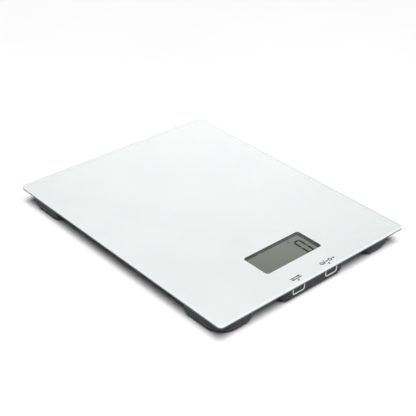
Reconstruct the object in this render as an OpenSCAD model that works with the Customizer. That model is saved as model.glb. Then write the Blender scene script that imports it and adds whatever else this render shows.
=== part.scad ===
// Glass kitchen scale: a thin glass platform standing on four load-cell pods,
// with a display and key housing under its front edge.
// Millimetres. +Z up, +Y away from the keys, origin on the table under the platform's middle.

/* [Platform] */
// Width of the glass, along the key edge
plate_w = 180; // [176:1:200]
// Depth of the glass, from the key edge to the back
plate_d = 220; // [210:1:250]
// Thickness of the tempered glass
glass_t = 3; // [2.6:0.1:4]
// Radius of the glass corners in plan
plate_corner_r = 3; // [2.5:0.5:8]
// Height from the table to the top of the glass
total_h = 16; // [16:0.1:18]

/* [Display] */
// Width of the clear window in the white print
window_w = 54; // [50:0.5:54]
// Depth of the clear window in the white print
window_d = 23.6; // [20:0.2:25]
// Distance from the front edge of the glass to the middle of the window
window_from_front = 33.8; // [33:0.2:36]
// Depth of the display surface under the print
display_recess = 3.68; // [3.4:0.02:3.9]

/* [Corner pods] */
// Size of a pod along X
pod_w = 31; // [30:0.5:34]
// Size of a pod along Y
pod_d = 38; // [36:0.5:42]
// Radius of the pod's corner that faces the glass corner
pod_outer_r = 15; // [10:0.5:21]
// Radius of the pod's other three corners
pod_inner_r = 5; // [4:0.5:6]
// Distance from the glass edge to the pod
pod_inset = 3; // [2:0.5:5]

/* [Feet] */
// Diameter of the foot where it leaves the pod
foot_d = 15.5; // [14.5:0.5:15.5]
// Diameter of the rubber pad
foot_pad_d = 13; // [10:0.5:13]

/* [Housing] */
// Width of the display and key housing
housing_w = 60.5; // [60.5:0.5:64]
// Depth of the housing, from its key face to its back
housing_d = 78; // [78:0.5:84]
// Distance from the glass edge to the key face
housing_inset = 3; // [2:0.5:4]

/* [Keys] */
// Distance between the middles of the two keys
key_pitch = 32; // [28:0.2:34]
// Width of a key face
key_w = 10; // [9:0.2:11]
// Width of the white trim round a key
trim_w = 0.8; // [0.6:0.1:1]
// Travel of a pressed key
key_travel = 0.5; // [0.3:0.1:0.6]

/* [Hidden] */

$fn = 48;
eps = 0.01;
fit_gap = 0.1;            // gap between parts that are dropped into one another
hull_fn = 32;             // facets of the circles that a hull rounds

// Heights of the stack, from the glass down
glass_z = total_h - glass_t;
print_t = 0.12;
print_z = glass_z - print_t;
legend_t = 0.06;
tape_t = 0.48;
rim_z = print_z - tape_t;
pod_z = 2.4;              // underside of a pod
housing_z = 3.3;          // underside of the housing

// Glass and print
edge_r = 1.2;             // rounding of the ground glass edge
print_inset = edge_r;       // the print ends where the flat underside of the glass does
window_y = -plate_d / 2 + window_from_front;
window_r = 2.3;

// Pods
pod_x = plate_w / 2 - pod_inset - pod_w / 2;
pod_y = plate_d / 2 - pod_inset - pod_d / 2;
pod_wall = 2.2;
pod_floor_t = 1.6;
pod_floor_z = pod_z + pod_floor_t;

// Load cells
cell_size = 20;
cell_dx = 2;              // how far a cell sits from its pod's middle, towards the scale's middle
cell_dy = 3;
cell_x = pod_x - cell_dx;
cell_y = pod_y - cell_dy;
cell_t = 1.2;
cell_z = 7.2;
cell_rail_w = 3.5;
cell_tongue_w = 8;
cell_tongue_gap = 2.8;    // gap between the tongue's end and the cross bar
cell_post = 8.2;          // distance of a post from the cell's middle, in X and Y
cell_post_d = 4;
gauge_w = 7;
gauge_d = 5;
gauge_t = 1;

// Screws
screw_d = 2;
screw_head_d = 3.6;
screw_head_t = 1.2;
screw_hole_d = 2.06;
cell_screw_l = 3;
board_screw_l = 2.1;

// Feet
foot_z = 0.9;             // underside of the foot's plastic ring
foot_flange_d = 18.6;
foot_flange_t = 1;
foot_flange_z = pod_floor_z + 0.05;
foot_boss_d = 6;
foot_pad_t = 2;
foot_hole_d = foot_d + 1;

// Housing
front_y = -plate_d / 2 + housing_inset;
housing_y = front_y + housing_d / 2;
back_y = front_y + housing_d;
housing_r = 5;
housing_wall = 1.2;
housing_floor_t = 1.4;
housing_floor_z = housing_z + housing_floor_t;

// Keys
key_x = key_pitch / 2;
key_gap = 0.1;
key_top_z = 11.6;
key_bottom_z = 5.7;       // lower edge of the trim
key_corner_r = 2.2;
key_flange = 1;           // how far a key's flange reaches past its trim
key_flange_t = 0.8;
key_stem_d = 3;
trim_proud = 0.12;

// Circuit board
board_z = housing_floor_z + 0.3;
board_t = 1;
board_top_z = board_z + board_t;
board_w = 57;
board_d = 46;
board_front_y = front_y + 4;
board_corner_r = 6;
board_hole_x = 25;
board_hole_inset = 3.4;
screw_seat_z = housing_z + 0.4;        // bottom of a board screw's hole

// Switches
switch_w = 6;
switch_d = 3.5;
switch_h = 3.2;
switch_y = board_front_y + 1;          // front face of a switch
plunger_d = 2;
plunger_z = board_top_z + 1.8;
plunger_reach = 1.2;                   // how far a plunger stands out of its switch
plunger_bore = 1.4;

// Display
display_w = 56.4;
display_d = 29;
display_t = 1.6;
display_top_z = print_z - display_recess;
display_z = display_top_z - display_t;
reflector_t = 0.1;
bezel_w = 57.6;
bezel_d = 31;
bezel_opening = 1;                     // how much larger the bezel's opening is than the window
bezel_top_z = print_z - fit_gap;
contact_bar_d = 2;
contact_bar_w = 42;

// Battery bay
bay_w = 23;                            // inside width
bay_wall = 2.2;
bay_front_y = back_y - 25;
door_w = 24.7;
door_d = 23.85;
door_t = 1.2;
cell_d = 20;
coin_t = 3.2;
coin_z = housing_z + door_t + 0.1;
coin_y = back_y - 12.5;
bay_roof_z = coin_z + coin_t + 1.7;
contact_t = 0.3;
door_lip_w = 0.9;
door_lip_t = 0.5;
door_slot_gap = 0.12;
grip_w = 14;
grip_step = 2.2;

// Wire ducts and leads
duct_w = 7;
duct_h = 3.3;
duct_wall = 0.9;
duct_z = print_z - duct_h;
side_duct_x = pod_x + 4.5;
front_duct_offset = 8;                // how far forward of a front pod's middle its duct leaves it
front_duct_y = -pod_y - front_duct_offset;
lead_d = 1.3;
lead_z = 11.3;
lead_gap = 0.9;                        // half the distance between two leads side by side
lead_sides = 8;
notch_w = 4.8;
notch_z = 10.2;
battery_lead_x = 5.5;
battery_lead_z = bay_roof_z - contact_t - lead_d / 2 - 0.02;

// ---------------------------------------------------------------- outlines

// Convex outline with a radius of its own at each corner: corners run from +X +Y round to +X -Y
module corner_outline(w, d, radii) {
    signs = [[1, 1], [-1, 1], [-1, -1], [1, -1]];
    polygon([for (i = [0:3]) each [
        let (s = signs[i], r = radii[i], first = s[0] * s[1] > 0)
            [s[0] * (w / 2 - (first ? 0 : r)), s[1] * (d / 2 - (first ? r : 0))],
        let (s = signs[i], r = radii[i], first = s[0] * s[1] > 0)
            [s[0] * (w / 2 - (first ? r : 0)), s[1] * (d / 2 - (first ? 0 : r))]
    ]]);
    for (i = [0:3]) let (s = signs[i], r = radii[i])
        translate([s[0] * (w / 2 - r), s[1] * (d / 2 - r)]) intersection() {
            circle(r);
            translate([s[0] < 0 ? -r : -eps, s[1] < 0 ? -r : -eps]) square(r + eps);
        }
}

module round_outline(w, d, r) corner_outline(w, d, [r, r, r, r]);

module round_slab(w, d, h, r) linear_extrude(h) round_outline(w, d, r);

// A pod's outline in the quadrant where the glass corner is towards +X +Y
module pod_outline(inset) {
    r = pod_inner_r - inset;
    corner_outline(pod_w - 2 * inset, pod_d - 2 * inset, [pod_outer_r - inset, r, r, r]);
}

module housing_outline(inset) {
    translate([0, housing_y])
        round_outline(housing_w - 2 * inset, housing_d - 2 * inset, housing_r - inset);
}

// Places a child made for the +X +Y quadrant at one corner
module at_corner(sx, sy) {
    mirror([sx < 0 ? 1 : 0, 0, 0]) mirror([0, sy < 0 ? 1 : 0, 0]) translate([pod_x, pod_y, 0]) children();
}

module at_every_corner() {
    for (sx = [-1, 1], sy = [-1, 1]) at_corner(sx, sy) children();
}

module on_cell() translate([-cell_dx, -cell_dy, 0]) children();

// ---------------------------------------------------------------- swept leads

// Corner cutting turns a route of a few points into a smooth one
function cut_corners(p) = concat(
    [p[0]],
    [for (i = [1:len(p) - 2]) each [0.3 * p[i - 1] + 0.7 * p[i], 0.7 * p[i] + 0.3 * p[i + 1]]],
    [p[len(p) - 1]]
);
function unit(v) = v / norm(v);
function tangent(p, i) = unit(p[min(i + 1, len(p) - 1)] - p[max(i - 1, 0)]);
function ring(p, i, r) =
    let (t = tangent(p, i), side = unit(cross(t, [0, 0, 1])), up = cross(side, t))
    [for (k = [0:lead_sides - 1]) let (a = 360 * k / lead_sides) p[i] + r * (cos(a) * side + sin(a) * up)];

module lead(route) {
    p = cut_corners(cut_corners(route));
    n = lead_sides;
    last = (len(p) - 1) * n;
    color("dimgray") polyhedron(
        points = [for (i = [0:len(p) - 1]) each ring(p, i, lead_d / 2)],
        faces = concat(
            [[for (k = [0:n - 1]) k]],
            [for (i = [0:len(p) - 2], k = [0:n - 1])
                let (a = i * n + k, b = i * n + (k + 1) % n) [a, a + n, b + n, b]],
            [[for (k = [n - 1:-1:0]) last + k]]
        )
    );
}

// Both leads of a side end on the board; a route is written for the +X side and mirrored by sx
lead_start_z = cell_z + cell_t + lead_d / 2 + 0.05;
lead_end_z = board_top_z + lead_d / 2;
gauge_y = -cell_y + cell_size / 2 - gauge_d / 2;

module front_lead(sx) {
    mirror([sx < 0 ? 1 : 0, 0, 0]) lead([
        [cell_x - gauge_w / 2 - 0.05, gauge_y, lead_start_z],
        [cell_x - gauge_w / 2 - 1.2, gauge_y, lead_start_z],
        [pod_x - 8, -pod_y + 8.5, lead_start_z + 0.4],
        [pod_x - 8.5, -pod_y + 3, lead_z],
        [pod_x - 8.5, -pod_y - 3, lead_z],
        [pod_x - 11, front_duct_y + lead_gap, lead_z],
        [pod_x - 15, front_duct_y + lead_gap, lead_z],
        [housing_w / 2 + 2, front_duct_y + lead_gap, lead_z],
        [housing_w / 2 - 3, front_duct_y + lead_gap, lead_z],
        [housing_w / 2 - 6.5, front_duct_y + lead_gap, lead_z - 2.4],
        [housing_w / 2 - 8.5, front_duct_y + lead_gap, lead_end_z + 0.4],
        [housing_w / 2 - 12, front_duct_y + lead_gap, lead_end_z]
    ]);
}

module back_lead(sx) {
    mirror([sx < 0 ? 1 : 0, 0, 0]) lead([
        [cell_x + gauge_w / 2 + 0.05, -gauge_y, lead_start_z],
        [cell_x + gauge_w / 2 + 1.2, -gauge_y, lead_start_z],
        [side_duct_x - 0.2, pod_y - 12, lead_start_z + 0.8],
        [side_duct_x, pod_y - 14.5, lead_z],
        [side_duct_x, pod_y - 17.5, lead_z],
        [side_duct_x, pod_y - 22, lead_z],
        [side_duct_x, -pod_y + 22, lead_z],
        [side_duct_x, -pod_y, lead_z],
        [side_duct_x - 2, -pod_y - 6, lead_z],
        [pod_x - 4, front_duct_y - lead_gap, lead_z],
        [pod_x - 10, front_duct_y - lead_gap, lead_z],
        [housing_w / 2 + 2, front_duct_y - lead_gap, lead_z],
        [housing_w / 2 - 3, front_duct_y - lead_gap, lead_z],
        [housing_w / 2 - 6.5, front_duct_y - lead_gap, lead_z - 2.4],
        [housing_w / 2 - 8.5, front_duct_y - lead_gap, lead_end_z + 0.4],
        [housing_w / 2 - 12, front_duct_y - lead_gap, lead_end_z]
    ]);
}

// ---------------------------------------------------------------- platform

// Rounded edge profile of the glass, from the middle outwards
module edge_profile(half) {
    translate([0, edge_r]) square([half, glass_t - 2 * edge_r]);
    square([half - edge_r, glass_t]);
    for (z = [edge_r, glass_t - edge_r]) translate([half - edge_r, z]) circle(edge_r);
}

module glass_platform() {
    inner_w = plate_w / 2 - plate_corner_r;
    inner_d = plate_d / 2 - plate_corner_r;
    color("azure", 0.4) translate([0, 0, glass_z]) {
        for (a = [0, 180]) rotate([0, 0, a]) {
            translate([0, inner_d, 0]) rotate([90, 0, 0]) linear_extrude(2 * inner_d) edge_profile(plate_w / 2);
            translate([-inner_w, 0, 0]) rotate([90, 0, 90]) linear_extrude(2 * inner_w) edge_profile(plate_d / 2);
        }
        for (sx = [-1, 1], sy = [-1, 1]) translate([sx * inner_w, sy * inner_d, 0])
            rotate_extrude() edge_profile(plate_corner_r);
    }
}

module window_outline() translate([0, window_y]) round_outline(window_w, window_d, window_r);

module white_print() {
    color("white") translate([0, 0, print_z]) difference() {
        round_slab(plate_w - 2 * print_inset, plate_d - 2 * print_inset, print_t, plate_corner_r - print_inset);
        translate([0, 0, -eps]) linear_extrude(print_t + 2 * eps) window_outline();
        translate([0, 0, print_t - legend_t]) linear_extrude(legend_t + eps) legend_outline();
    }
}

// Legends: a pointer over each key, a pair of exchange arrows for the unit key,
// and a power ring, a stroke and a zero between two arrows for the zero key
legend_h = 3.2;
legend_line = 0.8;
legend_y = -plate_d / 2 + 7.4;
pointer_y = -plate_d / 2 + 4.5;

module bar(from, to, line) {
    d = to - from;
    translate(from) rotate([0, 0, atan2(d[1], d[0])]) translate([0, -line / 2]) square([norm(d), line]);
}

module arrow(length, line, head) {
    bar([0, 0], [length - head, 0], line);
    translate([length - head, 0]) polygon([[0, head / 2], [head, 0], [0, -head / 2]]);
}

module ring_outline(r, line) {
    difference() {
        circle(r);
        circle(r - line);
    }
}

module pointer() polygon([[-1.1, 0.8], [1.1, 0.8], [0, -1]]);

module unit_legend() {
    translate([-4.7, legend_h / 4]) arrow(9.4, legend_line, 2);
    translate([4.7, -legend_h / 4]) rotate([0, 0, 180]) arrow(9.4, legend_line, 2);
}

module zero_legend() {
    translate([-6, 0]) {
        difference() {
            ring_outline(legend_h / 2, legend_line);
            translate([-0.7, 0.2]) square([1.4, legend_h]);
        }
        bar([0, 0.1], [0, legend_h / 2 + 0.2], 0.6);
    }
    bar([-4.1, -legend_h / 2], [-2.8, legend_h / 2], legend_line);
    translate([-2.1, 0]) arrow(2.5, legend_line, 1.8);
    translate([2.2, 0]) ring_outline(legend_h / 2, legend_line);
    translate([6.6, 0]) rotate([0, 0, 180]) arrow(2.5, legend_line, 1.8);
}

module legend_outline() {
    for (s = [-1, 1]) translate([s * (key_x - 1), pointer_y]) pointer();
    translate([-key_x + 1.1, legend_y]) unit_legend();
    translate([key_x + 0.6, legend_y]) zero_legend();
}

module legend_print() {
    color("dimgray") translate([0, 0, glass_z - legend_t]) linear_extrude(legend_t) legend_outline();
}

module pod_tapes() {
    color("gainsboro") at_every_corner() translate([0, 0, rim_z]) linear_extrude(tape_t) difference() {
        pod_outline(fit_gap);
        pod_outline(pod_wall - fit_gap);
    }
}

module housing_tape() {
    color("gainsboro") translate([0, 0, rim_z]) linear_extrude(tape_t) difference() {
        housing_outline(fit_gap);
        housing_outline(housing_wall - fit_gap);
    }
}

// ---------------------------------------------------------------- corner pods

// Heights and insets of the pod's outside, from its rim down round its lower edge
pod_levels = [[rim_z, 0], [5.6, 0.5], [4, 1.1], [3, 2], [pod_z, 3.3]];

module pod_shell() {
    hull() for (level = pod_levels)
        translate([0, 0, level[0] - (level[1] > 0 ? 0 : eps)]) linear_extrude(eps)
            pod_outline(level[1], $fn = hull_fn);
}

module wall_notch() {
    translate([0, 0, notch_z + 5]) cube([pod_wall * 3, notch_w, 10], center = true);
}

module pod(side_notch) {
    color("#3c3d40") {
        difference() {
            pod_shell();
            translate([0, 0, pod_floor_z]) linear_extrude(rim_z) pod_outline(pod_wall);
            on_cell() translate([0, 0, -eps]) cylinder(d = foot_hole_d, h = pod_floor_z + 1);
            translate([side_duct_x - pod_x, -pod_d / 2, 0]) rotate([0, 0, 90]) wall_notch();
            if (side_notch) translate([-pod_w / 2, front_duct_offset, 0]) wall_notch();
        }
        on_cell() for (sx = [-1, 1], sy = [-1, 1])
            translate([sx * cell_post, sy * cell_post, pod_floor_z - 0.2]) difference() {
                cylinder(d = cell_post_d, h = cell_z - pod_floor_z + 0.2);
                if (sx == sy) translate([0, 0, 0.4]) cylinder(d = screw_hole_d, h = cell_z);
            }
    }
}

module load_cell() {
    inner = cell_size / 2 - cell_rail_w;
    color("silver") on_cell() translate([0, 0, cell_z]) linear_extrude(cell_t) difference() {
        round_outline(cell_size, cell_size, 1);
        difference() {
            square([2 * inner, 2 * inner], center = true);
            translate([-cell_tongue_w / 2, -inner - eps])
                square([cell_tongue_w, 2 * inner - cell_tongue_gap]);
        }
        for (s = [-1, 1]) translate([s * cell_post, s * cell_post]) circle(d = screw_d + 0.4, $fn = 24);
    }
}

module strain_gauges() {
    color("whitesmoke") at_every_corner() on_cell()
        translate([0, -cell_size / 2 + gauge_d / 2 + 0.3, cell_z + cell_t]) round_slab(gauge_w, gauge_d, gauge_t, 1.6);
}

// A screw with its head's underside at the origin and its shank down
module screw(length) {
    difference() {
        union() {
            cylinder(d = screw_head_d, h = screw_head_t, $fn = 32);
            translate([0, 0, -length]) cylinder(d = screw_d, h = length + eps, $fn = 24);
        }
        for (a = [0, 90]) rotate([0, 0, a]) translate([-1, -0.25, screw_head_t - 0.6]) cube([2, 0.5, 1]);
    }
}

module load_cell_screws() {
    color("silver") at_every_corner() on_cell() for (s = [-1, 1])
        translate([s * cell_post, s * cell_post, cell_z + cell_t]) screw(cell_screw_l);
}

// ---------------------------------------------------------------- feet

module foot() {
    color("#2f3033") on_cell() difference() {
        union() {
            translate([0, 0, foot_z]) cylinder(d = foot_d, h = foot_flange_z - foot_z + eps);
            translate([0, 0, foot_flange_z]) cylinder(d = foot_flange_d, h = foot_flange_t);
            translate([0, 0, foot_flange_z]) cylinder(d = foot_boss_d, h = cell_z - foot_flange_z);
        }
        translate([0, 0, -eps]) cylinder(d = foot_pad_d + 0.2, h = foot_pad_t + eps);
    }
}

module foot_pad() {
    color("#26262a") on_cell() difference() {
        union() {
            cylinder(d1 = foot_pad_d - 1, d2 = foot_pad_d, h = 0.5);
            translate([0, 0, 0.5]) cylinder(d = foot_pad_d, h = foot_pad_t - 0.5);
        }
        for (r = [2.4, 4.4]) translate([0, 0, -eps]) linear_extrude(0.3 + eps) ring_outline(r + 0.35, 0.7);
    }
}

// ---------------------------------------------------------------- wire ducts

// A channel open towards the glass, running along +X from the origin
module duct(length) {
    color("#3c3d40") difference() {
        translate([0, -duct_w / 2, duct_z]) cube([length, duct_w, duct_h]);
        translate([-eps, -duct_w / 2 + duct_wall, duct_z + duct_wall])
            cube([length + 2 * eps, duct_w - 2 * duct_wall, duct_h]);
        for (s = [-1, 1]) translate([-eps, s * duct_w / 2, duct_z]) rotate([45, 0, 0])
            translate([0, -0.5, -0.5]) cube([length + 2 * eps, 1, 1]);
    }
}

module side_duct(sx) {
    length = 2 * (pod_y - pod_d / 2) - 2 * fit_gap;
    translate([sx * side_duct_x, -length / 2, 0]) rotate([0, 0, 90]) duct(length);
}

module front_duct(sx) {
    length = pod_x - pod_w / 2 - housing_w / 2 - 2 * fit_gap;
    translate([sx > 0 ? housing_w / 2 + fit_gap : -housing_w / 2 - fit_gap - length, front_duct_y, 0]) duct(length);
}

// ---------------------------------------------------------------- housing

housing_levels = [[rim_z, 0], [4.7, 0.25], [4.1, 0.45], [3.6, 0.85], [housing_z, 1.5]];

// Half of the housing's cross section, from its middle out to a wall that is `half` away
module housing_profile(half) {
    polygon(concat([[0, rim_z]], [for (level = housing_levels) [half - level[1], level[0]]], [[0, housing_z]]));
}

module housing_shell() {
    inner_w = housing_w / 2 - housing_r;
    inner_d = housing_d / 2 - housing_r;
    translate([0, housing_y, 0]) {
        for (a = [0, 180]) rotate([0, 0, a]) {
            translate([0, inner_d, 0]) rotate([90, 0, 0]) linear_extrude(2 * inner_d) housing_profile(housing_w / 2);
            translate([-inner_w, 0, 0]) rotate([90, 0, 90]) linear_extrude(2 * inner_w) housing_profile(housing_d / 2);
        }
        for (sx = [-1, 1], sy = [-1, 1]) translate([sx * inner_w, sy * inner_d, 0])
            rotate_extrude() housing_profile(housing_r);
    }
}

// Outline of the opening round a key, in the plane of the key face, without its trim's width when inset
module key_outline(inset) {
    half = key_w / 2 + key_gap + trim_w - inset;
    low = key_bottom_z + inset;
    r = key_corner_r - inset;
    translate([-half, low + r]) square([2 * half, key_top_z - low - r]);
    translate([-half + r, low]) square([2 * (half - r), r + eps]);
    for (s = [-1, 1]) translate([s * (half - r), low + r]) circle(r);
}

// Turns an outline drawn in X and Z into a slab from y to y + depth
module wall_slab(y, depth) translate([0, y + depth, 0]) rotate([90, 0, 0]) linear_extrude(depth) children();

module board_post(x, y) {
    translate([x, y, housing_floor_z - 0.2]) cylinder(d = 4.4, h = board_z - housing_floor_z + 0.2);
}

module board_corners() {
    for (sx = [-1, 1], y = [board_front_y + board_hole_inset, board_front_y + board_d - board_hole_inset])
        translate([sx * board_hole_x, y, 0]) children();
}

module battery_bay() {
    for (s = [-1, 1]) translate([s * (bay_w + bay_wall) / 2 - bay_wall / 2, bay_front_y, housing_floor_z - 0.2])
        cube([bay_wall, back_y - bay_front_y - 1, bay_roof_z + bay_wall - housing_floor_z + 0.2]);
    translate([-bay_w / 2 - bay_wall, bay_front_y - bay_wall, housing_floor_z - 0.2])
        cube([bay_w + 2 * bay_wall, bay_wall, bay_roof_z + bay_wall - housing_floor_z + 0.2]);
    translate([-bay_w / 2 - bay_wall, bay_front_y - bay_wall, bay_roof_z])
        cube([bay_w + 2 * bay_wall, back_y - bay_front_y + bay_wall - 1, bay_wall]);
    // Ribs that centre the coin cell
    for (a = [45:90:315]) translate([0, coin_y, coin_z]) rotate([0, 0, a])
        translate([cell_d / 2 + fit_gap, -1.2, 0]) cube([1.2, 2.4, bay_roof_z - coin_z + 0.1]);
}

module door_slot() {
    low = housing_z - 1;
    front = bay_front_y + 1;
    // Opening, then the grooves for the door's lips, both open at the back
    translate([-door_w / 2 - door_slot_gap, front, low])
        cube([door_w + 2 * door_slot_gap, back_y - front + 1, housing_floor_z - low + eps]);
    lip = door_w / 2 + door_lip_w + door_slot_gap;
    translate([-lip, front, housing_z + door_t - door_lip_t - door_slot_gap])
        cube([2 * lip, back_y - front + 1, door_lip_t + 2 * door_slot_gap]);
}

module housing() {
    color("#3c3d40") difference() {
        union() {
            difference() {
                housing_shell();
                translate([0, 0, housing_floor_z]) linear_extrude(rim_z) housing_outline(housing_wall);
            }
            battery_bay();
            board_corners() board_post(0, 0);
        }
        for (s = [-1, 1]) {
            translate([s * key_x, 0, 0]) wall_slab(front_y - 1, housing_wall + 2) key_outline(0);
            translate([s * housing_w / 2, front_duct_y, 0]) wall_notch();
        }
        door_slot();
        board_corners() translate([0, 0, screw_seat_z]) cylinder(d = screw_hole_d, h = board_z);
        for (s = [-1, 1]) translate([s * battery_lead_x - 0.9, bay_front_y - bay_wall - 1, battery_lead_z - 0.9])
            cube([1.8, bay_wall + 2, 1.8]);
    }
}

module key_trim(s) {
    color("white") translate([s * key_x, 0, 0])
        wall_slab(front_y - trim_proud, housing_wall + trim_proud) difference() {
            key_outline(0.02);
            translate([0, 0.5]) key_outline(trim_w);
            key_outline(trim_w);
        }
}

module key(s) {
    color("#38393c") translate([s * key_x, 0, 0]) {
        wall_slab(front_y, housing_wall + key_gap + eps) intersection() {
            key_outline(trim_w + key_gap);
            translate([-key_w, 0]) square([2 * key_w, key_top_z - key_gap]);
        }
        wall_slab(front_y + housing_wall + key_gap, key_flange_t)
            translate([0, 0.3]) square_about(key_w + 2 * (trim_w + key_flange), key_bottom_z - 0.6, key_top_z);
        translate([0, front_y + housing_wall + key_gap, plunger_z]) rotate([-90, 0, 0])
            cylinder(d = key_stem_d, h = switch_y - plunger_reach - front_y - housing_wall - key_gap, $fn = 32);
    }
}

module square_about(w, low, high) translate([-w / 2, low]) square([w, high - low]);

// ---------------------------------------------------------------- electronics

module switch_body(s) {
    color("dimgray") translate([s * key_x, 0, 0]) difference() {
        translate([-switch_w / 2, switch_y, board_top_z]) cube([switch_w, switch_d, switch_h]);
        translate([0, switch_y - eps, plunger_z]) rotate([-90, 0, 0])
            cylinder(d = plunger_d + 0.1, h = plunger_bore + eps, $fn = 32);
    }
}

module switch_plunger(s) {
    color("ivory") translate([s * key_x, switch_y - plunger_reach, plunger_z]) rotate([-90, 0, 0])
        cylinder(d = plunger_d, h = plunger_reach + plunger_bore - key_travel - 0.2, $fn = 32);
}

module circuit_board() {
    color("darkgreen") difference() {
        translate([0, board_front_y + board_d / 2, board_z]) round_slab(board_w, board_d, board_t, board_corner_r);
        board_corners() translate([0, 0, board_z - 1]) cylinder(d = screw_d + 0.4, h = 3, $fn = 24);
    }
}

module board_screws() {
    color("silver") board_corners() translate([0, 0, board_top_z]) screw(board_screw_l);
}

module controller() {
    color("#1d1d1f") translate([0, window_y - 2, board_top_z]) {
        cylinder(d1 = 12, d2 = 9, h = 0.8, $fn = 40);
        translate([0, 0, 0.8 - eps]) cylinder(d1 = 9, d2 = 5, h = 0.4, $fn = 40);
    }
}

module board_parts() {
    color("tan") {
        for (i = [0:4]) translate([-20 + 2.6 * i, window_y + 6, board_top_z]) cube([1.6, 0.8, 0.6]);
        for (i = [0:3]) translate([10 + 3.2 * i, window_y - 8, board_top_z]) cube([2, 1.2, 0.9]);
    }
    color("silver") translate([14, window_y + 4, board_top_z]) round_slab(8, 3, 1.2, 1.4);
}

module display_bezel() {
    color("#55585a") translate([0, window_y, 0]) difference() {
        translate([0, 0, display_z]) round_slab(bezel_w, bezel_d, bezel_top_z - display_z, 1);
        translate([0, 0, display_z - eps]) linear_extrude(display_t + fit_gap + eps)
            square([display_w + 2 * fit_gap, display_d + 2 * fit_gap], center = true);
        translate([0, 0, display_z]) linear_extrude(rim_z)
            round_outline(window_w + bezel_opening, window_d + bezel_opening, window_r);
    }
}

module display_cell() {
    color("#858b80") translate([0, window_y, display_z]) linear_extrude(display_t)
        square([display_w, display_d], center = true);
}

module display_reflector() {
    color("#a7aca0") translate([0, window_y, display_z - reflector_t]) linear_extrude(reflector_t)
        square([display_w - 2, display_d - 2 * contact_bar_d - 2], center = true);
}

module display_contacts() {
    color("lightcoral") for (s = [-1, 1])
        translate([-contact_bar_w / 2, window_y + s * (display_d - contact_bar_d) / 2 - contact_bar_d / 2, board_top_z])
            cube([contact_bar_w, contact_bar_d, display_z - board_top_z]);
}

// ---------------------------------------------------------------- battery

module coin_cell() {
    color("silver") translate([0, coin_y, coin_z]) {
        cylinder(d = cell_d, h = coin_t - 0.5);
        translate([0, 0, coin_t - 0.5 - eps]) cylinder(d = cell_d - 2.4, h = 0.5 + eps);
    }
}

// A bent leaf spring between the bay's roof and the cell's top
module contact_negative() {
    top = bay_roof_z;
    low = coin_z + coin_t;
    color("gold") translate([0, coin_y, 0]) wall_slab(-2.5, 5) polygon([
        [-8, top], [-8, top - contact_t], [-4, top - contact_t], [-1.5, low], [1.5, low],
        [4, top - contact_t], [4.6, top - contact_t], [4.6, top], [3.9, top],
        [1.4, low + contact_t], [-1.4, low + contact_t], [-3.9, top]
    ]);
}

// A strip under the bay's roof, folded down to bear on the cell's rim
module contact_positive() {
    rim_x = cell_d / 2 + 0.02;
    color("gold") translate([0, coin_y - 2, 0]) {
        translate([rim_x, 0, coin_z + 0.4]) cube([contact_t, 4, bay_roof_z - coin_z - 0.4]);
        translate([battery_lead_x - 0.6, 0, bay_roof_z - contact_t])
            cube([rim_x + contact_t - battery_lead_x + 0.6, 4, contact_t]);
    }
}

module battery_leads() {
    for (s = [-1, 1]) lead([
        [s * battery_lead_x, coin_y - 1, battery_lead_z],
        [s * battery_lead_x, bay_front_y, battery_lead_z],
        [s * battery_lead_x, bay_front_y - bay_wall, battery_lead_z],
        [s * battery_lead_x, bay_front_y - bay_wall - 1.6, battery_lead_z - 0.3],
        [s * battery_lead_x, bay_front_y - bay_wall - 2.2, lead_end_z + 0.6],
        [s * battery_lead_x, bay_front_y - bay_wall - 4.2, lead_end_z]
    ]);
}

module battery_door() {
    front = back_y - door_d;
    lip = door_w / 2 + door_lip_w;
    color("#38393c") difference() {
        intersection() {
            translate([-2 * lip, housing_y, 0]) rotate([90, 0, 90]) linear_extrude(4 * lip)
                housing_profile(housing_d / 2);
            union() {
                translate([-door_w / 2, front, housing_z - 1]) cube([door_w, door_d + 1, door_t + 1]);
                translate([-lip, front, housing_z + door_t - door_lip_t]) cube([2 * lip, door_d + 1, door_lip_t]);
            }
        }
        for (i = [0:3]) translate([-grip_w / 2, back_y - 6 - i * grip_step, housing_z - eps])
            cube([grip_w, 1, 0.4]);
    }
}

// ---------------------------------------------------------------- nodes

glass_platform();
white_print();
legend_print();
pod_tapes();
housing_tape();
at_corner(-1, -1) pod(true);  // pod_front_left
at_corner(1, -1) pod(true);  // pod_front_right
at_corner(-1, 1) pod(false);  // pod_back_left
at_corner(1, 1) pod(false);  // pod_back_right
at_corner(-1, -1) load_cell();  // load_cell_front_left
at_corner(1, -1) load_cell();  // load_cell_front_right
at_corner(-1, 1) load_cell();  // load_cell_back_left
at_corner(1, 1) load_cell();  // load_cell_back_right
strain_gauges();
load_cell_screws();
at_corner(-1, -1) foot();  // foot_front_left
at_corner(1, -1) foot();  // foot_front_right
at_corner(-1, 1) foot();  // foot_back_left
at_corner(1, 1) foot();  // foot_back_right
at_corner(-1, -1) foot_pad();  // foot_pad_front_left
at_corner(1, -1) foot_pad();  // foot_pad_front_right
at_corner(-1, 1) foot_pad();  // foot_pad_back_left
at_corner(1, 1) foot_pad();  // foot_pad_back_right
front_lead(-1);  // lead_front_left
front_lead(1);  // lead_front_right
back_lead(-1);  // lead_back_left
back_lead(1);  // lead_back_right
side_duct(-1);  // wire_duct_left
side_duct(1);  // wire_duct_right
front_duct(-1);  // wire_duct_front_left
front_duct(1);  // wire_duct_front_right
housing();
key_trim(-1);  // key_trim_left
key_trim(1);  // key_trim_right
key(-1);  // key_left
key(1);  // key_right
switch_body(-1);  // switch_left
switch_body(1);  // switch_right
switch_plunger(-1);  // switch_plunger_left
switch_plunger(1);  // switch_plunger_right
display_bezel();
display_cell();
display_reflector();
display_contacts();
circuit_board();
controller();
board_parts();
board_screws();
coin_cell();
contact_positive();
contact_negative();
battery_leads();
battery_door();
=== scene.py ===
"""Slim glass kitchen scale: materials, display digit, floor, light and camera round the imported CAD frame."""

import math

import bpy
from mathutils import Matrix, Vector


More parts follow.
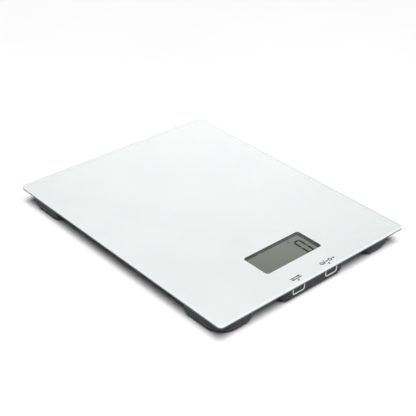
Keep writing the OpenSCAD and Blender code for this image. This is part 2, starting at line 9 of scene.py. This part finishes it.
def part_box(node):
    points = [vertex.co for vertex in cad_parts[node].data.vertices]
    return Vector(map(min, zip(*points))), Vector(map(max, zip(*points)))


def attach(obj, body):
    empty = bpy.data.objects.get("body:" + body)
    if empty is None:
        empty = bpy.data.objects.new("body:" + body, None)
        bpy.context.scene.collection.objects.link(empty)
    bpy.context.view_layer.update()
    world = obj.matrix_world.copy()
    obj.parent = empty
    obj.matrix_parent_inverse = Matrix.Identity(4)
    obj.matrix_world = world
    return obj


MM = 0.001

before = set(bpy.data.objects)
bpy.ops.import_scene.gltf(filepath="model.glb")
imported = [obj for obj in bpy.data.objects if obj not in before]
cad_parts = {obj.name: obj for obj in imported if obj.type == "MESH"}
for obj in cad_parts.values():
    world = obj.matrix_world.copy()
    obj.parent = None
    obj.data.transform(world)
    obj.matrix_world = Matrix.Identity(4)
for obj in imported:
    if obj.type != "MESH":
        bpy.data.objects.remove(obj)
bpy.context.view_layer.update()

glass_low, glass_high = (Vector(corner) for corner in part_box("glass_platform"))
cell_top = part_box("display_cell")[1][2]

# ---------------------------------------------------------------- camera

CAMERA_AZIMUTH = -43.4  # degrees, from the key side towards the left
CAMERA_ELEVATION = 32.0
CAMERA_ROLL = 2.15
CAMERA_DISTANCE = 0.7286  # to the middle of the platform's top
CAMERA_LENS = 85.8  # mm, on a 36 mm wide sensor
AIM_OFFSET = Vector((-0.64, -0.30, -2.05)) * MM  # of the aim point from the middle of the glass top


def direction(azimuth, elevation):
    """Unit vector from the object towards a viewer at that azimuth and elevation."""
    a, e = math.radians(azimuth), math.radians(elevation)
    return Vector((math.sin(a) * math.cos(e), -math.cos(a) * math.cos(e), math.sin(e)))


def aimed_matrix(place, target, roll=0.0):
    """World matrix of a camera or lamp at place that looks at target."""
    back = (place - target).normalized()
    right = Vector((0, 0, 1)).cross(back).normalized()
    up = back.cross(right)
    turn = math.radians(roll)
    right, up = (
        right * math.cos(turn) + up * math.sin(turn),
        up * math.cos(turn) - right * math.sin(turn),
    )
    return Matrix.Translation(place) @ Matrix((right, up, back)).transposed().to_4x4()


def make_camera():
    data = bpy.data.cameras.new("camera")
    data.sensor_width = 36
    data.lens = CAMERA_LENS
    data.clip_start = 0.01
    camera = bpy.data.objects.new("camera", data)
    bpy.context.collection.objects.link(camera)
    target = Vector((0, 0, glass_high.z)) + AIM_OFFSET
    place = target + CAMERA_DISTANCE * direction(CAMERA_AZIMUTH, CAMERA_ELEVATION)
    camera.matrix_world = aimed_matrix(place, target, CAMERA_ROLL)
    bpy.context.scene.camera = camera


# ---------------------------------------------------------------- floor and light


def add_mesh(name, points, faces):
    mesh = bpy.data.meshes.new(name)
    mesh.from_pydata(points, [], faces)
    mesh.update()
    obj = bpy.data.objects.new(name, mesh)
    bpy.context.collection.objects.link(obj)
    return obj


def make_floor():
    corners = [(x * FLOOR_REACH, y * FLOOR_REACH, 0) for x, y in ((-1, -1), (1, -1), (1, 1), (-1, 1))]
    floor = add_mesh("floor", corners, [(0, 1, 2, 3)])
    surface = Surface("floor")
    surface.set(roughness=0.9, specular=0.0)
    surface.colour(surface.noise(6, 2), (0.93, 0.93, 0.93), (0.95, 0.95, 0.95))
    surface.paint(floor)


FLOOR_REACH = 3.0  # metres from the middle to an edge
WORLD_LIGHT = 0.03
WORLD_SEEN = 0.9  # what the camera sees above the floor's far edge
BACKDROP_SPREAD = 42  # degrees


def add_lamp(name, azimuth, elevation, distance, size, power, aim_height=0.0):
    data = bpy.data.lights.new(name, "AREA")
    data.shape = "RECTANGLE"
    data.size, data.size_y = size
    data.energy = power
    lamp = bpy.data.objects.new(name, data)
    bpy.context.collection.objects.link(lamp)
    lamp.matrix_world = aimed_matrix(distance * direction(azimuth, elevation), Vector((0, 0, aim_height)))
    lamp.visible_camera = False
    return lamp


def make_light():
    world = bpy.data.worlds.new("studio")
    world.use_nodes = True
    tree = world.node_tree
    seen = tree.nodes.new("ShaderNodeLightPath").outputs["Is Camera Ray"]
    strength = tree.nodes.new("ShaderNodeMapRange")
    strength.inputs["To Min"].default_value = WORLD_LIGHT
    strength.inputs["To Max"].default_value = WORLD_SEEN
    tree.links.new(seen, strength.inputs["Value"])
    tree.nodes["Background"].inputs["Color"].default_value = (1, 1, 1, 1)
    tree.links.new(strength.outputs[0], tree.nodes["Background"].inputs["Strength"])
    bpy.context.scene.world = world
    add_lamp("softbox", azimuth=-37, elevation=65, distance=6.0, size=(3.7, 3.7), power=485)
    # Only adds gloss to the platform. Its narrow spread keeps it from washing out the display
    backdrop = add_lamp(
        "backdrop", azimuth=137, elevation=30, distance=1.6, size=(3.4, 1.6), power=3.1, aim_height=0.43
    )
    backdrop.data.spread = math.radians(BACKDROP_SPREAD)
    backdrop.visible_diffuse = False
    view = bpy.context.scene.view_settings
    view.view_transform = "Standard"
    view.look = "None"


# ---------------------------------------------------------------- materials


class Surface:
    """A material made of one Principled shader, with procedural colour, roughness and bump."""

    def __init__(self, name):
        self.material = bpy.data.materials.new(name)
        self.material.use_nodes = True
        self.tree = self.material.node_tree
        self.shader = self.tree.nodes["Principled BSDF"]
        self.place = self.tree.nodes.new("ShaderNodeTexCoord").outputs["Object"]

    def set(self, roughness, specular=0.5, metallic=0.0, coat=0.0, coat_roughness=0.1, ior=1.5):
        inputs = self.shader.inputs
        inputs["Roughness"].default_value = roughness
        inputs["Specular IOR Level"].default_value = specular
        inputs["Metallic"].default_value = metallic
        inputs["Coat Weight"].default_value = coat
        inputs["Coat Roughness"].default_value = coat_roughness
        inputs["IOR"].default_value = ior

    def node(self, kind, **values):
        """A new node with the named inputs set or linked."""
        node = self.tree.nodes.new(kind)
        for key, value in values.items():
            socket = node.inputs[key.replace("_", " ")]
            if isinstance(value, bpy.types.NodeSocket):
                self.tree.links.new(value, socket)
            else:
                socket.default_value = value
        return node

    def noise(self, scale, detail=3.0, roughness=0.5, stretch=(1, 1, 1)):
        """Noise whose grains are about 1 / scale metres across, from 0 to 1."""
        place = self.node("ShaderNodeMapping", Vector=self.place, Scale=stretch).outputs[0]
        noise = self.node("ShaderNodeTexNoise", Vector=place, Scale=scale, Detail=detail, Roughness=roughness)
        return noise.outputs["Fac"]

    def cells(self, scale):
        """Distance to the nearest of random points about 1 / scale metres apart."""
        return self.node("ShaderNodeTexVoronoi", Vector=self.place, Scale=scale).outputs["Distance"]

    def ramp(self, value, low, high, dark, light):
        """value taken from low..high to dark..light."""
        ramp = self.node("ShaderNodeMapRange", Value=value)
        for index, number in enumerate((low, high, dark, light)):
            ramp.inputs[index + 1].default_value = number
        return ramp.outputs[0]

    def mix(self, factor, first, second):
        mix = self.tree.nodes.new("ShaderNodeMix")
        mix.data_type = "RGBA"
        for socket, value in zip((mix.inputs[0], mix.inputs[6], mix.inputs[7]), (factor, first, second)):
            if isinstance(value, bpy.types.NodeSocket):
                self.tree.links.new(value, socket)
            else:
                socket.default_value = (*value, 1) if isinstance(value, tuple) else value
        return mix.outputs[2]

    def colour(self, factor, first, second, low=0.3, high=0.7):
        """Base colour from first to second as factor goes from low to high."""
        mixed = self.mix(self.ramp(factor, low, high, 0, 1), first, second)
        self.tree.links.new(mixed, self.shader.inputs["Base Color"])

    def rough(self, factor, low, high):
        self.tree.links.new(self.ramp(factor, 0.3, 0.7, low, high), self.shader.inputs["Roughness"])

    def bump(self, height, depth, strength=1.0):
        """Bump whose height runs over depth metres."""
        bump = self.node("ShaderNodeBump", Height=height, Strength=strength, Distance=depth)
        if self.shader.inputs["Normal"].is_linked:
            self.tree.links.new(self.shader.inputs["Normal"].links[0].from_socket, bump.inputs["Normal"])
        self.tree.links.new(bump.outputs[0], self.shader.inputs["Normal"])

    def upwards(self):
        """1 on faces that look straight up, -1 on those that look straight down."""
        normal = self.node("ShaderNodeNewGeometry").outputs["True Normal"]
        return self.node("ShaderNodeSeparateXYZ", Vector=normal).outputs["Z"]

    def backing(self, colour):
        """Gives the faces that look down another colour."""
        front = self.shader.inputs["Base Color"].links[0].from_socket
        mixed = self.mix(self.ramp(self.upwards(), -0.9, -0.1, 0, 1), colour, front)
        self.tree.links.new(mixed, self.shader.inputs["Base Color"])

    def level(self):
        """1 on faces that lie flat, 0 on all others."""
        flatness = self.node("ShaderNodeMath", Value=self.upwards())
        flatness.operation = "ABSOLUTE"
        return self.ramp(flatness.outputs[0], 0.990, 0.999, 0.0, 1.0)

    def let_lamps_through(self):
        """Lamp and bounced light goes straight through: only what the camera and mirrors see is bent."""
        path = self.tree.nodes.new("ShaderNodeLightPath")
        either = self.tree.nodes.new("ShaderNodeMath")
        either.operation = "MAXIMUM"
        self.tree.links.new(path.outputs["Is Shadow Ray"], either.inputs[0])
        self.tree.links.new(path.outputs["Is Diffuse Ray"], either.inputs[1])
        clear = self.tree.nodes.new("ShaderNodeBsdfTransparent")
        mix = self.tree.nodes.new("ShaderNodeMixShader")
        self.tree.links.new(either.outputs[0], mix.inputs[0])
        self.tree.links.new(self.shader.outputs[0], mix.inputs[1])
        self.tree.links.new(clear.outputs[0], mix.inputs[2])
        output = self.tree.nodes["Material Output"]
        self.tree.links.new(mix.outputs[0], output.inputs["Surface"])

    def paint(self, *objects):
        for obj in objects:
            obj.data.materials.clear()
            obj.data.materials.append(self.material)


def nodes_like(*starts):
    """The CAD nodes whose names start with one of these."""
    return [obj for name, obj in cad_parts.items() if name.startswith(starts)]


GLASS_TINT = (0.985, 0.998, 0.995)
EDGE_PAINTED_SHADE = (0.06, 0.075, 0.085)  # painted shade: the ground edge below its middle, dark as if in the shadow under the platform
EDGE_UPPER = (0.76, 0.80, 0.80)
EDGE_INSIDE = (0.70, 0.73, 0.73)  # the ground edge seen through the glass
EDGE_ROUGHNESS = 0.3
EDGE_BLEND = 0.4 * MM  # height over which the painted shade of the lower half turns into the upper colour


def glass():
    """Clear on its flat faces. The edge is ground and matt, bright above; below its middle it carries painted
    shade, dark towards the print.
    """
    surface = Surface("tempered_glass")
    surface.set(roughness=0.0, ior=1.5)
    level = surface.level()
    height = surface.node("ShaderNodeSeparateXYZ", Vector=surface.place).outputs["Z"]
    middle = (glass_low.z + glass_high.z) / 2
    # painted shade: the ground edge is coloured dark below its middle by height, standing for the shadow it
    # faces
    outside_with_painted_shade = surface.mix(surface.ramp(height, middle, middle + EDGE_BLEND, 0, 1), EDGE_PAINTED_SHADE, EDGE_UPPER)
    inside = surface.node("ShaderNodeNewGeometry").outputs["Backfacing"]
    edge = surface.mix(inside, outside_with_painted_shade, EDGE_INSIDE)
    inputs = surface.shader.inputs
    surface.tree.links.new(surface.mix(level, edge, GLASS_TINT), inputs["Base Color"])
    surface.tree.links.new(level, inputs["Transmission Weight"])
    surface.tree.links.new(surface.ramp(level, 0, 1, EDGE_ROUGHNESS, 0.0), inputs["Roughness"])
    surface.let_lamps_through()
    surface.paint(*nodes_like("glass_platform"))


def enamels():
    surface = Surface("white_enamel")
    surface.set(roughness=0.5, specular=0.3)
    surface.colour(surface.noise(40, 4), (0.800, 0.820, 0.817), (0.820, 0.838, 0.834))
    surface.backing((0.10, 0.10, 0.105))
    surface.bump(surface.noise(900, 3), 0.01 * MM)
    surface.paint(*nodes_like("white_print"))

    surface = Surface("dark_enamel")
    surface.set(roughness=0.55, specular=0.3)
    surface.colour(surface.noise(2500, 2), (0.012, 0.012, 0.014), (0.02, 0.02, 0.022))
    surface.paint(*nodes_like("legend_print"))


def moulded_plastic(name, dark, light, roughness, grain=0.03):
    """Spark-eroded moulded plastic: a fine matt grain with faint flow marks."""
    surface = Surface(name)
    surface.set(roughness=roughness, specular=0.2)
    surface.colour(surface.noise(60, 4), dark, light)
    surface.rough(surface.noise(300, 3), roughness - 0.05, roughness + 0.07)
    surface.bump(surface.noise(2600, 2, 0.6), grain * MM)
    surface.bump(surface.cells(3800), grain * 0.6 * MM)
    return surface


def plastics():
    moulded_plastic("charcoal_plastic", (0.033, 0.034, 0.035), (0.042, 0.043, 0.045), 0.6).paint(
        *nodes_like("pod_front", "pod_back", "housing", "wire_duct", "battery_door")
    )
    moulded_plastic("key_plastic", (0.030, 0.031, 0.032), (0.037, 0.038, 0.040), 0.55, 0.02).paint(
        *nodes_like("key_left", "key_right")
    )
    moulded_plastic("trim_plastic", (0.74, 0.75, 0.76), (0.80, 0.81, 0.82), 0.3, 0.005).paint(
        *nodes_like("key_trim")
    )
    moulded_plastic("foot_plastic", (0.045, 0.045, 0.048), (0.055, 0.055, 0.058), 0.5).paint(
        *[obj for obj in nodes_like("foot_") if not obj.name.startswith("foot_pad")]
    )
    moulded_plastic("bezel_plastic", (0.10, 0.104, 0.099), (0.12, 0.124, 0.119), 0.55).paint(
        *nodes_like("display_bezel")
    )
    moulded_plastic("switch_plastic", (0.03, 0.03, 0.03), (0.05, 0.05, 0.05), 0.4, 0.01).paint(
        *nodes_like("switch_left", "switch_right")
    )
    moulded_plastic("plunger_plastic", (0.72, 0.70, 0.62), (0.78, 0.76, 0.68), 0.4, 0.01).paint(
        *nodes_like("switch_plunger")
    )


def rubbers():
    surface = Surface("foot_rubber")
    surface.set(roughness=0.75, specular=0.3)
    surface.colour(surface.noise(400, 4), (0.022, 0.022, 0.024), (0.04, 0.04, 0.042))
    surface.bump(surface.noise(1500, 4), 0.05 * MM)
    surface.paint(*nodes_like("foot_pad"))

    surface = Surface("lead_sleeve")
    surface.set(roughness=0.45)
    surface.colour(surface.noise(500, 3), (0.03, 0.03, 0.03), (0.06, 0.06, 0.06))
    surface.bump(surface.noise(2500, 2), 0.02 * MM)
    surface.paint(*nodes_like("lead_", "battery_leads"))

    surface = Surface("foam_tape")
    surface.set(roughness=0.9, specular=0.2)
    surface.colour(surface.cells(2500), (0.55, 0.55, 0.54), (0.72, 0.72, 0.71))
    surface.bump(surface.cells(2500), 0.08 * MM)
    surface.paint(*nodes_like("pod_tapes", "housing_tape"))

    surface = Surface("striped_rubber")
    surface.set(roughness=0.7)
    stripes = surface.node("ShaderNodeTexWave", Vector=surface.place, Scale=900.0)
    stripes.bands_direction = "X"
    surface.colour(stripes.outputs["Fac"], (0.05, 0.05, 0.05), (0.62, 0.28, 0.28), 0.4, 0.6)
    surface.paint(*nodes_like("display_contacts"))


def metals():
    surface = Surface("stamped_steel")
    surface.set(roughness=0.35, metallic=1.0)
    surface.colour(surface.noise(700, 4, 0.6, (1, 8, 1)), (0.50, 0.50, 0.51), (0.66, 0.66, 0.67))
    surface.rough(surface.noise(900, 3, 0.6, (1, 8, 1)), 0.25, 0.45)
    surface.bump(surface.noise(1200, 3, 0.6, (1, 10, 1)), 0.01 * MM)
    surface.paint(*nodes_like("load_cell_front", "load_cell_back"))

    surface = Surface("zinc_plate")
    surface.set(roughness=0.3, metallic=1.0)
    surface.colour(surface.noise(800, 4), (0.58, 0.58, 0.60), (0.70, 0.69, 0.66))
    surface.bump(surface.noise(3000, 2), 0.01 * MM)
    surface.paint(*nodes_like("load_cell_screws", "board_screws"))

    surface = Surface("coin_steel")
    surface.set(roughness=0.22, metallic=1.0)
    surface.colour(surface.noise(500, 5), (0.68, 0.68, 0.67), (0.76, 0.76, 0.75))
    surface.rough(surface.noise(2500, 3, 0.7, (1, 12, 1)), 0.18, 0.3)
    surface.bump(surface.noise(2500, 3, 0.6, (1, 12, 1)), 0.006 * MM)
    surface.paint(*nodes_like("coin_cell"))

    surface = Surface("spring_brass")
    surface.set(roughness=0.25, metallic=1.0)
    surface.colour(surface.noise(900, 4), (0.70, 0.60, 0.36), (0.80, 0.72, 0.46))
    surface.bump(surface.noise(2000, 3), 0.01 * MM)
    surface.paint(*nodes_like("contact_"))


def electronics():
    surface = Surface("solder_mask")
    surface.set(roughness=0.35, coat=0.3)
    traces = surface.node("ShaderNodeTexBrick", Vector=surface.place, Scale=260.0)
    surface.colour(traces.outputs["Fac"], (0.010, 0.075, 0.030), (0.018, 0.12, 0.05))
    surface.bump(traces.outputs["Fac"], 0.03 * MM)
    surface.paint(*nodes_like("circuit_board"))

    surface = Surface("black_epoxy")
    surface.set(roughness=0.3)
    surface.colour(surface.noise(300, 3), (0.010, 0.010, 0.011), (0.02, 0.02, 0.021))
    surface.bump(surface.noise(250, 2), 0.1 * MM)
    surface.paint(*nodes_like("controller", "board_parts"))

    surface = Surface("potting")
    surface.set(roughness=0.4)
    surface.colour(surface.noise(300, 3), (0.70, 0.70, 0.66), (0.80, 0.80, 0.77))
    surface.bump(surface.noise(350, 3), 0.15 * MM)
    surface.paint(*nodes_like("strain_gauges"))


def display_materials():
    surface = Surface("liquid_crystal")
    surface.set(roughness=0.13, specular=0.15)
    surface.colour(surface.noise(30, 3), (0.190, 0.206, 0.181), (0.204, 0.220, 0.195))
    surface.rough(surface.noise(1500, 2), 0.10, 0.16)
    surface.paint(*nodes_like("display_cell"))

    surface = Surface("pearl_film")
    surface.set(roughness=0.6)
    surface.colour(surface.noise(4000, 3), (0.36, 0.38, 0.34), (0.46, 0.48, 0.44))
    surface.paint(*nodes_like("display_reflector"))


# ---------------------------------------------------------------- display digit

DIGIT_W = 5.1 * MM  # between the middles of the upright segments
DIGIT_H = 15.4 * MM  # between the middles of the top and bottom segments
SEGMENT = 1.8 * MM
DIGIT_SLANT = math.tan(math.radians(1.5))
DIGIT_PLACE = Vector((20.9, -77.0, 0)) * MM
SEGMENT_T = 0.02 * MM
SEGMENT_TAPER = SEGMENT / 3  # length of a segment's pointed end
SEGMENT_GAP = 0.2 * MM  # from a segment's point to the digit's corner
CELL_CLEARANCE = 0.01 * MM  # from the cell to the segments
MARK_PLACE = Vector((-5.4, 10.5)) * MM  # of the small stroke near the digit, from the digit's middle
MARK_OUTLINE = ((-0.9, -1.1), (-0.1, -1.1), (0.9, 1.1), (0.1, 1.1))  # mm, a leaning bar


def segment_outline(start, end):
    """Corners of a bar with pointed ends from start to end, with a gap at each end."""
    along = (end - start).normalized()
    across = Vector((-along.y, along.x)) * SEGMENT / 2
    start, end = start + along * SEGMENT_GAP, end - along * SEGMENT_GAP
    taper = along * SEGMENT_TAPER
    return [
        start,
        start + taper - across,
        end - taper - across,
        end,
        end - taper + across,
        start + taper + across,
    ]


def display_digit():
    """The digit 0 and a small mark, as thin raised shapes on the liquid-crystal cell."""
    w, h = DIGIT_W / 2, DIGIT_H / 2
    corners = {(x, y): Vector((x * w, y * h)) for x in (-1, 1) for y in (-1, 0, 1)}
    bars = [
        ((-1, 1), (1, 1)),
        ((-1, -1), (1, -1)),
        ((-1, 0), (-1, 1)),
        ((-1, -1), (-1, 0)),
        ((1, 0), (1, 1)),
        ((1, -1), (1, 0)),
    ]
    outlines = [segment_outline(corners[a], corners[b]) for a, b in bars]
    outlines.append([MARK_PLACE + Vector(p) * MM for p in MARK_OUTLINE])
    low = cell_top + CELL_CLEARANCE
    points, faces = [], []
    for outline in outlines:
        first, count = len(points), len(outline)
        for z in (low, low + SEGMENT_T):
            points += [
                (DIGIT_PLACE.x + p.x + p.y * DIGIT_SLANT, DIGIT_PLACE.y + p.y, z) for p in outline
            ]
        faces.append([first + i for i in reversed(range(count))])
        faces.append([first + count + i for i in range(count)])
        for i in range(count):
            j = (i + 1) % count
            faces.append([first + i, first + j, first + count + j, first + count + i])
    digit = add_mesh("display_digit", points, faces)
    surface = Surface("dark_crystal")
    surface.set(roughness=0.4, specular=0.1)
    surface.colour(surface.noise(2000, 2), (0.006, 0.006, 0.006), (0.010, 0.010, 0.010))
    surface.paint(digit)
    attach(digit, "scale")


# ---------------------------------------------------------------- everything, in order

make_camera()
glass()
enamels()
plastics()
rubbers()
metals()
electronics()
display_materials()
display_digit()
make_floor()
make_light()
